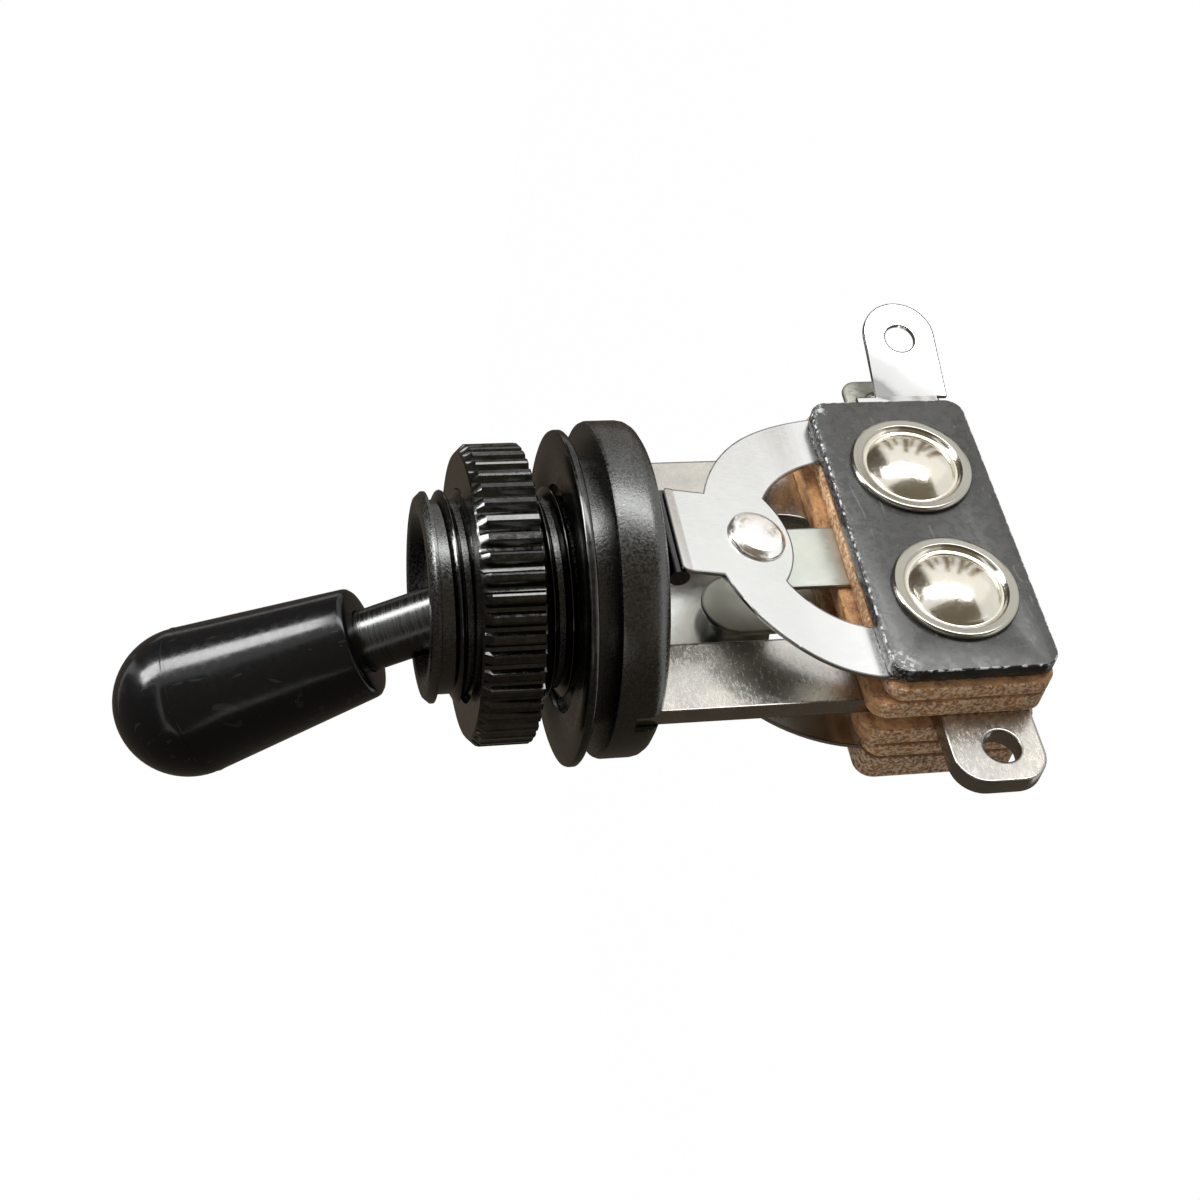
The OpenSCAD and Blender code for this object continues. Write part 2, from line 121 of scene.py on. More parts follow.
class SwitchFinish(PropertyGroup):
    """Colours of the finishes"""

    black: FloatVectorProperty(
        name="Black plating", description="Bushing, nut, washer and lever rod",
        subtype="COLOR", size=3, default=(0.058, 0.059, 0.057), min=0, max=1)
    tip: FloatVectorProperty(
        name="Tip", description="Moulded tip of the lever",
        subtype="COLOR", size=3, default=(0.003, 0.0032, 0.0036), min=0, max=1)
    nickel: FloatVectorProperty(
        name="Bracket", description="Plated steel of the bracket",
        subtype="COLOR", size=3, default=(0.52, 0.50, 0.465), min=0, max=1)
    leaf: FloatVectorProperty(
        name="Leaf", description="Bright spring metal",
        subtype="COLOR", size=3, default=(0.74, 0.745, 0.73), min=0, max=1)
    rivet: FloatVectorProperty(
        name="Rivet", description="Warm plating of the rivets",
        subtype="COLOR", size=3, default=(0.74, 0.71, 0.62), min=0, max=1)
    phenolic: FloatVectorProperty(
        name="Phenolic", description="Brown insulating sheet",
        subtype="COLOR", size=3, default=(0.76, 0.39, 0.15), min=0, max=1)
    phenolic_dark: FloatVectorProperty(
        name="Phenolic, dark", description="Darker flecks in the brown sheet",
        subtype="COLOR", size=3, default=(0.22, 0.09, 0.03), min=0, max=1)
    cover: FloatVectorProperty(
        name="Cover", description="Black insulating sheet",
        subtype="COLOR", size=3, default=(0.042, 0.042, 0.039), min=0, max=1)


class SwitchStage(PropertyGroup):
    """Floor, lamps and camera"""

    floor_drop: FloatProperty(
        name="Floor drop", description="How far the floor lies below the switch",
        default=420 * MM, unit="LENGTH")
    lens: FloatProperty(
        name="Lens", description="Focal length of the camera, in millimetres of lens",
        default=58.72, min=20, max=200)


# ---------------------------------------------------------------- modelling helpers


def add_piece(name, bm, body, nodes=(), sharp=35):
    """Makes an object of bm, ties it to a body and hides the nodes it stands for."""
    mesh = bpy.data.meshes.new(name)
    bm.to_mesh(mesh)
    bm.free()
    for polygon in mesh.polygons:
        polygon.use_smooth = True
    mesh.set_sharp_from_angle(angle=math.radians(sharp))
    piece = bpy.data.objects.new(name, mesh)
    bpy.context.scene.collection.objects.link(piece)
    if body:
        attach(piece, body)
    if nodes:
        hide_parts(*nodes)
    return piece


def close(bm, distance=0.002 * MM):
    """Merges doubled points and turns every face outwards."""
    bmesh.ops.remove_doubles(bm, verts=bm.verts, dist=distance)
    bmesh.ops.recalc_face_normals(bm, faces=bm.faces)


def lathe(profile, steps=128, closed=False):
    """Turns a profile of (radius, height) pairs, in millimetres, round Z."""
    bm = bmesh.new()
    verts = [bm.verts.new((r * MM, 0, z * MM)) for r, z in profile]
    edges = [bm.edges.new(pair) for pair in zip(verts, verts[1:])]
    if closed:
        edges.append(bm.edges.new((verts[-1], verts[0])))
    bmesh.ops.spin(bm, geom=verts + edges, cent=(0, 0, 0), axis=(0, 0, 1),
                   angle=math.tau, steps=steps, use_merge=True)
    close(bm)
    return bm


def soften(bm, width, angle=30, line=0.0):
    """Bevels every edge that turns by more than angle, and marks cut sides and new faces as edge.

    A line above zero also sets a burnished border of that width into the flat faces."""
    mark = bm.faces.layers.float.new("edge")
    for face in bm.faces:
        face[mark] = CUT_SIDE if abs(face.normal.y) < 0.5 else 0.0
    edges = [e for e in bm.edges if len(e.link_faces) == 2
             and e.calc_face_angle(0) > math.radians(angle)]
    made = bmesh.ops.bevel(bm, geom=edges, offset=width, offset_type="OFFSET", affect="EDGES",
                           segments=2, profile=0.5, material=-1, clamp_overlap=True)
    for face in made["faces"]:
        face[mark] = ROUNDED
    for side in (-1, 1) if line else ():
        bmesh.ops.dissolve_degenerate(bm, edges=bm.edges, dist=0.004 * MM)
        bm.normal_update()
        flat = [f for f in bm.faces if f[mark] < 0.1 and f.normal.y * side > 0.5]
        border = bmesh.ops.inset_region(bm, faces=flat, thickness=line, depth=0.0,
                                        use_even_offset=False, use_boundary=True)
        for face in border["faces"]:
            face[mark] = BORDERED


def sheet_copy(node):
    """A clean copy of a cut sheet: doubles merged and flat faces made whole again."""
    same = 0.0008 * MM
    bm = bmesh.new()
    bm.from_mesh(frame["nodes"][node].data)
    bmesh.ops.remove_doubles(bm, verts=bm.verts, dist=same)
    bmesh.ops.dissolve_degenerate(bm, edges=bm.edges, dist=same)
    bmesh.ops.dissolve_limit(bm, angle_limit=math.radians(0.5), verts=bm.verts, edges=bm.edges,
                             delimit={"NORMAL"})
    return bm


def quarter_round(radius, height, size, degrees):
    """Profile points of a rounded lower rim that ends at radius, size above height."""
    return [(radius - size + size * math.sin(a), height + size - size * math.cos(a))
            for a in map(math.radians, degrees)]


def lean_over(bm):
    """Turns geometry drawn along Z from the pivot to the lever's rest lean."""
    angle = bpy.context.scene.switch_shape.lean
    bmesh.ops.rotate(bm, verts=bm.verts, cent=(0, 0, 0), matrix=Matrix.Rotation(-angle, 3, "X"))
    bmesh.ops.translate(bm, verts=bm.verts, vec=PIVOT)


# ---------------------------------------------------------------- shader groups


def group(name, inputs, outputs):
    """A new node group; returns it with the sockets that it is given and those that it fills."""
    tree = bpy.data.node_groups.new(name, "ShaderNodeTree")
    kinds = {"value": "NodeSocketFloat", "vector": "NodeSocketVector", "colour": "NodeSocketColor"}
    for label, kind, default in inputs:
        socket = tree.interface.new_socket(name=label, in_out="INPUT", socket_type=kinds[kind])
        if default is not None:
            socket.default_value = default
    for label, kind in outputs:
        tree.interface.new_socket(name=label, in_out="OUTPUT", socket_type=kinds[kind])
    given, filled = tree.nodes.new("NodeGroupInput"), tree.nodes.new("NodeGroupOutput")
    return tree, given.outputs, filled.inputs


def feed(tree, socket, value):
    """Gives a socket a number, a colour or vector, or a link from another socket."""
    if isinstance(value, bpy.types.NodeSocket):
        tree.links.new(value, socket)
    elif isinstance(value, (int, float)):
        socket.default_value = value
    elif socket.type == "RGBA":
        socket.default_value = tuple(value)[:3] + (1.0,)
    else:
        socket.default_value = tuple(value)


def math_node(tree, operation, a, b, clamp=False):
    """One step of arithmetic."""
    node = tree.nodes.new("ShaderNodeMath")
    node.operation = operation
    node.use_clamp = clamp
    feed(tree, node.inputs[0], a)
    feed(tree, node.inputs[1], b)
    return node.outputs[0]


def noise_node(tree, vector, scale, detail=3.0, rough=0.5):
    """Cloudy noise between 0 and 1."""
    node = tree.nodes.new("ShaderNodeTexNoise")
    for label, value in (("Vector", vector), ("Scale", scale), ("Detail", detail),
                         ("Roughness", rough)):
        feed(tree, node.inputs[label], value)
    return node.outputs["Fac"]


def range_node(tree, value, low, high, to_low=0.0, to_high=1.0):
    """A smooth step from to_low to to_high as value goes from low to high."""
    node = tree.nodes.new("ShaderNodeMapRange")
    node.interpolation_type = "SMOOTHSTEP"
    for label, amount in (("Value", value), ("From Min", low), ("From Max", high),
                          ("To Min", to_low), ("To Max", to_high)):
        feed(tree, node.inputs[label], amount)
    return node.outputs["Result"]


def vector_node(tree, operation, a, b):
    """One step of arithmetic on two vectors."""
    node = tree.nodes.new("ShaderNodeVectorMath")
    node.operation = operation
    feed(tree, node.inputs[0], a)
    feed(tree, node.inputs[1], b)
    return node.outputs[0]


def mix_node(tree, fac, a, b):
    """Colour a at fac 0 and colour b at fac 1."""
    node = tree.nodes.new("ShaderNodeMix")
    node.data_type = "RGBA"
    feed(tree, node.inputs["Factor"], fac)
    feed(tree, node.inputs[6], a)
    feed(tree, node.inputs[7], b)
    return node.outputs[2]


def make_groups():
    """The shared surface effects, each built once."""
    # blotches between two colours
    tree, given, out = group("Mottle", [
        ("Vector", "vector", None), ("Scale", "value", 1.0), ("Low", "value", 0.35),
        ("High", "value", 0.65), ("Dark", "colour", (0.2, 0.2, 0.2, 1)),
        ("Light", "colour", (0.8, 0.8, 0.8, 1))], [("Color", "colour"), ("Mask", "value")])
    cloud = noise_node(tree, given["Vector"], given["Scale"], 5, 0.6)
    fac = range_node(tree, cloud, given["Low"], given["High"])
    tree.links.new(mix_node(tree, fac, given["Dark"], given["Light"]), out["Color"])
    tree.links.new(fac, out["Mask"])

    # fine lines along the direction in which Stretch is small
    tree, given, out = group("Brushed", [
        ("Vector", "vector", None), ("Stretch", "vector", (1, 1, 1)), ("Scale", "value", 6.0)],
        [("Value", "value"), ("Height", "value")])
    drawn = vector_node(tree, "MULTIPLY", given["Vector"], given["Stretch"])
    fine = noise_node(tree, drawn, given["Scale"], 6, 0.65)
    tree.links.new(range_node(tree, fine, 0.3, 0.7), out["Value"])
    tree.links.new(fine, out["Height"])

    # sparse thin scratches
    tree, given, out = group("Scratches", [
        ("Vector", "vector", None), ("Stretch", "vector", (1, 1, 1)), ("Scale", "value", 3.0),
        ("Cut", "value", 0.68)], [("Mask", "value")])
    warp = noise_node(tree, given["Vector"], 0.35, 1)
    drawn = vector_node(tree, "MULTIPLY", given["Vector"], given["Stretch"])
    shift = tree.nodes.new("ShaderNodeCombineXYZ")
    tree.links.new(math_node(tree, "MULTIPLY", warp, 3.0), shift.inputs["X"])
    tree.links.new(math_node(tree, "MULTIPLY", warp, 2.0), shift.inputs["Z"])
    drawn = vector_node(tree, "ADD", drawn, shift.outputs["Vector"])
    line = noise_node(tree, drawn, given["Scale"], 2)
    upper = math_node(tree, "ADD", given["Cut"], 0.03)
    tree.links.new(range_node(tree, line, given["Cut"], upper), out["Mask"])

    # dust: small round specks
    tree, given, out = group("Specks", [
        ("Vector", "vector", None), ("Scale", "value", 2.0), ("Size", "value", 0.12)],
        [("Mask", "value")])
    cell = tree.nodes.new("ShaderNodeTexVoronoi")
    tree.links.new(given["Vector"], cell.inputs["Vector"])
    tree.links.new(given["Scale"], cell.inputs["Scale"])
    reach = math_node(tree, "MULTIPLY", cell.outputs["Color"], given["Size"])
    speck = math_node(tree, "LESS_THAN", cell.outputs["Distance"], reach)
    tree.links.new(speck, out["Mask"])

    # grain of a sprayed or cast skin
    tree, given, out = group(
        "Skin", [("Vector", "vector", None), ("Scale", "value", 5.0)],
        [("Height", "value"), ("Value", "value")])
    coarse = noise_node(tree, given["Vector"], given["Scale"], 2)
    finer_scale = math_node(tree, "MULTIPLY", given["Scale"], 3.1)
    finer = noise_node(tree, given["Vector"], finer_scale, 2)
    both = math_node(tree, "ADD", math_node(tree, "MULTIPLY", coarse, 0.65),
                     math_node(tree, "MULTIPLY", finer, 0.35))
    tree.links.new(both, out["Height"])
    tree.links.new(range_node(tree, both, 0.38, 0.62), out["Value"])

    # layers of a laminate, seen on its cut sides; it is layered along Y
    tree, given, out = group("Laminate", [
        ("Vector", "vector", None), ("Layers", "value", 3.0),
        ("Dark", "colour", (0.2, 0.1, 0.05, 1)), ("Light", "colour", (0.6, 0.3, 0.12, 1))],
        [("Color", "colour"), ("Height", "value")])
    drawn = vector_node(tree, "MULTIPLY", given["Vector"], (0.25, 1.0, 0.25))
    bands = range_node(tree, noise_node(tree, drawn, given["Layers"], 3, 0.6), 0.36, 0.62)
    fleck = range_node(tree, noise_node(tree, given["Vector"], 2.2, 5, 0.7), 0.35, 0.65)
    fac = math_node(tree, "ADD", math_node(tree, "MULTIPLY", bands, 0.55),
                    math_node(tree, "MULTIPLY", fleck, 0.45))
    tree.links.new(mix_node(tree, fac, given["Dark"], given["Light"]), out["Color"])
    tree.links.new(fac, out["Height"])


class Finish:
    """A material in the making: a Principled shader fed from Object coordinates in millimetres."""

    def __init__(self, name, metallic=0.0, specular=0.5):
        self.material = bpy.data.materials.new(name)
        self.material.use_nodes = True
        self.tree = self.material.node_tree
        self.shader = self.tree.nodes["Principled BSDF"]
        self.shader.inputs["Metallic"].default_value = metallic
        self.shader.inputs["Specular IOR Level"].default_value = specular
        coords = self.tree.nodes.new("ShaderNodeTexCoord").outputs["Object"]
        self.place = vector_node(self.tree, "MULTIPLY", coords, (1 / MM,) * 3)

    def use(self, name, **values):
        """Places a shared group; returns its outputs."""
        node = self.tree.nodes.new("ShaderNodeGroup")
        node.node_tree = bpy.data.node_groups[name]
        feed(self.tree, node.inputs["Vector"], values.pop("at", self.place))
        for label, value in values.items():
            feed(self.tree, node.inputs[label], value)
        return node.outputs

    def spots(self, scale, low, high):
        """Mask of blotches: 0 where the noise is under low, 1 where it is over high."""
        return self.use("Mottle", Scale=scale, Low=low, High=high,
                        Dark=(0, 0, 0), Light=(1, 1, 1))["Mask"]

    def colour(self, value):
        """Sets the base colour."""
        feed(self.tree, self.shader.inputs["Base Color"], value)

    def rough(self, value, low, high):
        """Roughness between low and high, by a mask."""
        feed(self.tree, self.shader.inputs["Roughness"], self.step(value, 0.0, 1.0, low, high))

    def bump(self, height, strength, depth):
        """Relief of that depth, in millimetres."""
        node = self.tree.nodes.new("ShaderNodeBump")
        node.inputs["Strength"].default_value = strength
        node.inputs["Distance"].default_value = depth * MM
        feed(self.tree, node.inputs["Height"], height)
        feed(self.tree, self.shader.inputs["Normal"], node.outputs["Normal"])

    def edge(self):
        """Mask of a sheet's edges: CUT_SIDE, BORDERED or ROUNDED, and 0 on its flats."""
        node = self.tree.nodes.new("ShaderNodeAttribute")
        node.attribute_name = "edge"
        return node.outputs["Fac"]

    def near(self, point, reach):
        """Mask that is 1 at a point, in millimetres, and 0 beyond reach."""
        node = self.tree.nodes.new("ShaderNodeVectorMath")
        node.operation = "DISTANCE"
        feed(self.tree, node.inputs[0], self.place)
        feed(self.tree, node.inputs[1], point)
        return self.step(node.outputs["Value"], 0.0, reach, 1.0, 0.0)

    def along(self, axis, start, end):
        """Mask that rises from 0 to 1 between two places, in millimetres, along an axis."""
        split = self.tree.nodes.new("ShaderNodeSeparateXYZ")
        feed(self.tree, split.inputs["Vector"], self.place)
        return self.step(split.outputs[axis], start, end)

    def step(self, value, low, high, to_low=0.0, to_high=1.0):
        """A smooth step of a value."""
        return range_node(self.tree, value, low, high, to_low, to_high)

    def mix(self, fac, a, b):
        """Colour a at fac 0 and colour b at fac 1."""
        return mix_node(self.tree, fac, a, b)

    def times(self, a, b):
        """The product of two masks."""
        return math_node(self.tree, "MULTIPLY", a, b, clamp=True)

    def most(self, a, b):
        """The larger of two masks."""
        return math_node(self.tree, "MAXIMUM", a, b, clamp=True)


def shaded(colour, share):
    """A colour made that much brighter or darker."""
    return [min(1, c * share) for c in colour]


def tip_finish(name):
    """Deep black moulding with hair scratches and a little dust."""
    f = Finish(name, specular=0.38)
    skin = f.use("Skin", Scale=2.4)
    scratch = f.use("Scratches", Stretch=(1.6, 0.35, 0.35), Scale=2.2, Cut=0.66)["Mask"]
    dust = f.use("Specks", Scale=1.1, Size=0.04)["Mask"]
    marks = f.most(f.times(scratch, 0.25), f.times(dust, 0.4))
    f.colour(f.mix(marks, bpy.context.scene.switch_finish.tip, (0.04, 0.04, 0.04)))
    f.rough(skin["Value"], 0.15, 0.21)
    f.bump(skin["Height"], 0.15, 0.01)
    return f.material


def plated_black(name, low, high, grain, grain_scale, lift=1.0):
    """Black nickel plating; grain is the depth of its cast or turned skin in millimetres."""
    black = shaded(bpy.context.scene.switch_finish.black, lift)
    f = Finish(name, metallic=1.0)
    skin = f.use("Skin", Scale=grain_scale)
    dust = f.use("Specks", Scale=1.3, Size=0.06)["Mask"]
    tone = f.mix(skin["Value"], black, shaded(black, 1.4))
    f.colour(f.mix(f.times(dust, 0.5), tone, (0.4, 0.4, 0.4)))
    f.rough(skin["Value"], low, high)
    f.bump(skin["Height"], 0.6, grain)
    return f.material


def rod_finish(name):
    """Black plating over turning marks, which run across the leaned rod."""
    black = bpy.context.scene.switch_finish.black
    f = Finish(name, metallic=1.0)
    turn = f.tree.nodes.new("ShaderNodeMapping")
    turn.vector_type = "TEXTURE"
    turn.inputs["Rotation"].default_value = (-bpy.context.scene.switch_shape.lean, 0, 0)
    feed(f.tree, turn.inputs["Vector"], f.place)
    rings = f.use("Brushed", at=turn.outputs["Vector"], Stretch=(0.02, 0.02, 1.0), Scale=7.0)
    f.colour(f.mix(rings["Value"], black, shaded(black, 1.4)))
    f.rough(rings["Value"], 0.16, 0.28)
    f.bump(rings["Height"], 0.5, 0.02)
    return f.material


def sheet_metal(name, colour, low, high, stretch, stain, warm=(0.75, 0.68, 0.52),
                edge=0.64, grain=0.006, skin=7.0, black_border_span=None):
    """Plated or bright metal: a rolled direction, faint stains, a fine grain and darker edges.

    The last argument is the stretch of x, in millimetres, over which the border of the flats turns
    black."""
    f = Finish(name, metallic=1.0)
    rolled = f.use("Brushed", Stretch=stretch, Scale=6.0)["Value"]
    cloud = f.use("Mottle", Scale=0.35, Low=0.35, High=0.7,
                  Dark=shaded(colour, 1 - stain), Light=colour)
    dust = f.use("Specks", Scale=0.8, Size=0.045)["Mask"]
    tint = f.mix(f.times(cloud["Mask"], 0.18), cloud["Color"], warm)
    tint = f.mix(f.times(dust, 0.4), tint, shaded(colour, 0.35))
    tint = f.mix(f.times(f.edge(), edge), tint, shaded(colour, 0.18))
    if black_border_span:
        border = f.step(f.edge(), BORDERED - 0.12, BORDERED - 0.02)
        tint = f.mix(f.times(border, f.along(0, *black_border_span)), tint, (0.02, 0.02, 0.018))
    f.colour(tint)
    f.rough(rolled, low, high)
    f.bump(f.use("Skin", Scale=skin)["Height"], 0.5, grain)
    return f.material


def laminate(name, dark, light, layers):
    """Phenolic sheet: smooth streaked flats, and crusty, paler cut sides with dark flecks.

    The crust is thinnest on the sides that face the bushing."""
    pale = (0.86, 0.69, 0.49)
    f = Finish(name, specular=0.35)
    body = f.use("Laminate", Layers=layers, Dark=dark, Light=light)
    flat = f.mix(f.times(f.spots(7.0, 0.4, 0.68), 0.25), body["Color"], pale)
    crust = f.use("Mottle", Scale=5.0, Low=0.42, High=0.58, Dark=dark, Light=pale)
    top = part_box("front_inner_spacer")[1].z / MM
    worn = f.step(f.along(2, top - 0.7, top - 0.3), 0.0, 1.0, 0.6, 0.15)
    cut = f.mix(worn, body["Color"], crust["Color"])
    f.colour(f.mix(f.times(f.edge(), 1.7), flat, cut))
    f.rough(body["Height"], 0.45, 0.75)
    f.bump(f.mix(0.5, body["Height"], crust["Mask"]), 0.7, 0.06)
    return f.material


def cover_finish(name):
    """Black sheet: a dull sheen, dust, scratches, cut sides painted near black as shade, worn
    edges and two corners chipped bright.
    """
    black = bpy.context.scene.switch_finish.cover
    f = Finish(name)
    skin = f.use("Skin", Scale=1.6)
    scratch = f.use("Scratches", Stretch=(0.3, 1.0, 1.5), Scale=2.6, Cut=0.69)["Mask"]
    dust = f.use("Specks", Scale=1.5, Size=0.09)["Mask"]
    tone = f.mix(skin["Value"], black, shaded(black, 1.3))
    tone = f.mix(f.most(f.times(scratch, 0.25), f.times(dust, 0.55)), tone, (0.32, 0.33, 0.34))
    # painted shade: the cut sides and their rounded edges are painted near black
    tone = f.mix(f.times(f.step(f.edge(), 0.2, 0.4), 0.85), tone, (0.004, 0.004, 0.004))
    low, high = (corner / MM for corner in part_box("front_plate"))
    corners = f.most(f.near((low.x + 0.4, low.y, high.z - 0.2), 1.7),
                     f.near((high.x - 0.4, low.y, high.z - 0.2), 1.1))
    chips = f.most(f.times(f.along(2, high.z - 0.35, high.z + 0.1), 0.45), corners)
    chips = f.times(f.times(chips, 1.5), f.spots(4.5, 0.5, 0.56))
    chips = f.times(chips, f.step(f.edge(), 0.2, 0.4, 1.0, 0.25))
    worn = f.times(f.step(f.edge(), 0.6, 0.9), f.spots(2.6, 0.5, 0.58))
    f.colour(f.mix(f.most(chips, worn), tone, (0.52, 0.53, 0.54)))
    f.rough(skin["Value"], 0.24, 0.36)
    f.bump(skin["Height"], 0.4, 0.03)
    return f.material


def plain_finish(name, colour, low, high, metallic=0.0):
    """A faintly grained finish of one colour."""
    f = Finish(name, metallic=metallic)
    skin = f.use("Skin", Scale=3.0)
    f.colour(f.mix(skin["Value"], colour, shaded(colour, 1.12)))
    f.rough(skin["Value"], low, high)
    f.bump(skin["Height"], 0.2, 0.01)
    return f.material


def finish_of(name):
    """The named finish, made the first time it is asked for."""
    old = bpy.data.materials.get(name)
    if old and old.get("switch"):
        return old
    if old:
        old.name = name + "_frame"
    look = bpy.context.scene.switch_finish
    maker, settings = {
        "tip_black": (tip_finish, {}),
        "lever_black": (rod_finish, {}),
        "pin_steel": (plain_finish, dict(colour=(0.55, 0.55, 0.54), low=0.25, high=0.35,
                                         metallic=1.0)),
        "bushing_black": (plated_black, dict(low=0.2, high=0.34, grain=0.028, grain_scale=7.0,
                                             lift=1.5)),
        "thread_black": (plated_black, dict(low=0.1, high=0.2, grain=0.012, grain_scale=4.0)),
        "nut_black": (plated_black, dict(low=0.12, high=0.22, grain=0.01, grain_scale=2.6)),
        "washer_black": (plated_black, dict(low=0.16, high=0.26, grain=0.008, grain_scale=3.0)),
        "bracket_nickel": (sheet_metal, dict(
            colour=look.nickel, low=0.18, high=0.28, stretch=(0.5, 1.0, 1.2), stain=0.14,
            grain=0.009, skin=5.0)),
        "leaf_spring": (sheet_metal, dict(
            colour=look.leaf, low=0.19, high=0.25, stretch=(1.2, 1.0, 0.3), stain=0.02,
            warm=(0.80, 0.80, 0.77), edge=0.96, grain=0.003, skin=0.8, black_border_span=(10.0, 11.5))),
        "fixed_contact": (sheet_metal, dict(
            colour=(0.50, 0.52, 0.47), low=0.3, high=0.42, stretch=(1.2, 1.0, 0.3),
            stain=0.08)),
        "contact_silver": (plain_finish, dict(colour=(0.88, 0.87, 0.84), low=0.16, high=0.26,
                                              metallic=1.0)),
        "rivet_nickel": (sheet_metal, dict(
            colour=look.rivet, low=0.12, high=0.2, stretch=(1.0, 1.0, 1.0), stain=0.1,
            warm=(0.74, 0.66, 0.46), edge=1.12)),
        "plate_black": (cover_finish, {}),
        "plate_brown": (laminate, dict(dark=(0.14, 0.065, 0.028),
                                       light=shaded(look.phenolic, 0.8), layers=2.4)),
        "spacer_brown": (laminate, dict(dark=look.phenolic_dark, light=look.phenolic,
                                        layers=3.0)),
        "sleeve_insulation": (plain_finish, dict(colour=(0.5, 0.42, 0.3), low=0.5, high=0.6)),
    }[name]
    material = maker(name, **settings)
    material["switch"] = True
    return material


def dress(piece, name):
    """Gives a piece its finish."""
    material = finish_of(name)
    if not piece.material_slots:
        piece.data.materials.append(material)
    for slot in piece.material_slots:
        slot.material = material


# ---------------------------------------------------------------- pieces


class SWITCH_OT_lever(Operator):
    """Finish the frame's lever, a rod with a ball, a tapered inner arm and a crossbar, and its
    pivot pin
    """

    bl_idname = "switch.lever"
    bl_label = "Lever"

    def execute(self, context):
        dress(frame["nodes"]["lever"], "lever_black")
        dress(frame["nodes"]["pivot_pin"], "pin_steel")
        return {"FINISHED"}


class SWITCH_OT_tip(Operator):
    """Make the moulded tip: a slow taper, a seam and a round end, hollow for the rod"""

    bl_idname = "switch.tip"
    bl_label = "Tip"

    def execute(self, context):
        base, length = 8.45, 15.4        # from the pivot to the foot, and from the foot to the end
        foot_r, dome_r, foot_round = 3.25, 4.35, 0.4
        bore_r, bore = 1.86, 9.0
        dome = base + length - dome_r
        taper = math.atan((dome_r - foot_r) / (length - dome_r))
        profile = [(0.0, base + bore), (bore_r, base + bore), (bore_r, base),
                   (foot_r - foot_round, base)]
        profile += quarter_round(foot_r, base, foot_round, (30, 60, 90))
        seam_z = dome - dome_r * math.sin(taper)
        seam_r = dome_r * math.cos(taper)
        side = base + foot_round
        profile += [(foot_r + (seam_r - foot_r) * t, side + (seam_z - 0.12 - side) * t)
                    for t in (0.25, 0.5, 0.75, 1.0)]
        # a fine flash line stands out at the seam
        profile += [(seam_r + 0.025, seam_z - 0.06), (seam_r + 0.025, seam_z - 0.02),
                    (seam_r - 0.03, seam_z + 0.02), (seam_r, seam_z + 0.08)]
        start, steps = 0.03 - taper, 22
        profile += [(dome_r * math.cos(a), dome + dome_r * math.sin(a))
                    for a in (start + (math.pi / 2 - start) * i / steps for i in range(1, steps))]
        profile.append((0.0, dome + dome_r))
        bm = lathe(profile, 96)
        lean_over(bm)
        piece = add_piece("lever_tip_moulding", bm, "lever", ["lever_tip"], 40)
        dress(piece, "tip_black")
        return {"FINISHED"}


class SWITCH_OT_bushing(Operator):
    """Make the bushing: a turned body with its mouth, step and flange, slotted for the bracket"""

    bl_idname = "switch.bushing"
    bl_label = "Bushing"

    def execute(self, context):
        low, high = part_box("bushing")
        top, bottom = high.z / MM, low.z / MM
        rim, neck, rounding = high.x / MM, 7.6, 0.9
        root = NOSE_R - context.scene.switch_shape.thread_depth / MM
        front, step = bottom + 2.8, -0.5     # the flange's front, and the washer's step
        pivot = PIVOT.z / MM
        waist, waist_half = 2.8, 1.3         # the narrow ring round the lever's ball
        profile = [(waist, pivot - waist_half), (4.8, step), (6.2, bottom),
                   (rim - rounding, bottom)]
        profile += quarter_round(rim, bottom, rounding, (22, 45, 68, 90))
        profile += [(rim, front - 0.28), (rim - 0.08, front - 0.08), (rim - 0.28, front),
                    (neck, front), (neck, step), (root, step), (root, top - 0.62)]
        # the nose's rim, the mouth and the way down to the waist
        profile += [(5.94, top - 0.5), (5.94, top - 0.34), (5.66, top - 0.04), (5.5, top),
                    (4.78, top), (4.6, top - 0.12), (waist, pivot + waist_half)]
        bm = lathe(profile, 128, closed=True)
        # the slot for the bracket is cut by a block, whose top is the slot's floor
        slot = bmesh.new()
        bmesh.ops.create_cube(slot, size=1.0)
        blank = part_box("bracket")
        width = 2 * (blank[1].y + 0.02 * MM)
        reach = 2 * (blank[1].z - low.z)
        bmesh.ops.scale(slot, vec=(3 * rim * MM, width, reach), verts=slot.verts)
        bmesh.ops.translate(slot, vec=(0, 0, low.z), verts=slot.verts)
        cutter = add_piece("slot_cutter", slot, None)
        piece = add_piece("bushing_body", bm, None)
        cut = piece.modifiers.new("slot", "BOOLEAN")
        cut.operation = "DIFFERENCE"
        cut.solver = "EXACT"
        cut.object = cutter
        dressed = bpy.data.meshes.new_from_object(
            piece.evaluated_get(context.evaluated_depsgraph_get()))
        piece.modifiers.clear()
        piece.data = dressed
        bpy.data.objects.remove(cutter)
        dressed.set_sharp_from_angle(angle=math.radians(35))
        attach(piece, "frame")
        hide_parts("bushing")
        dress(piece, "bushing_black")
        return {"FINISHED"}


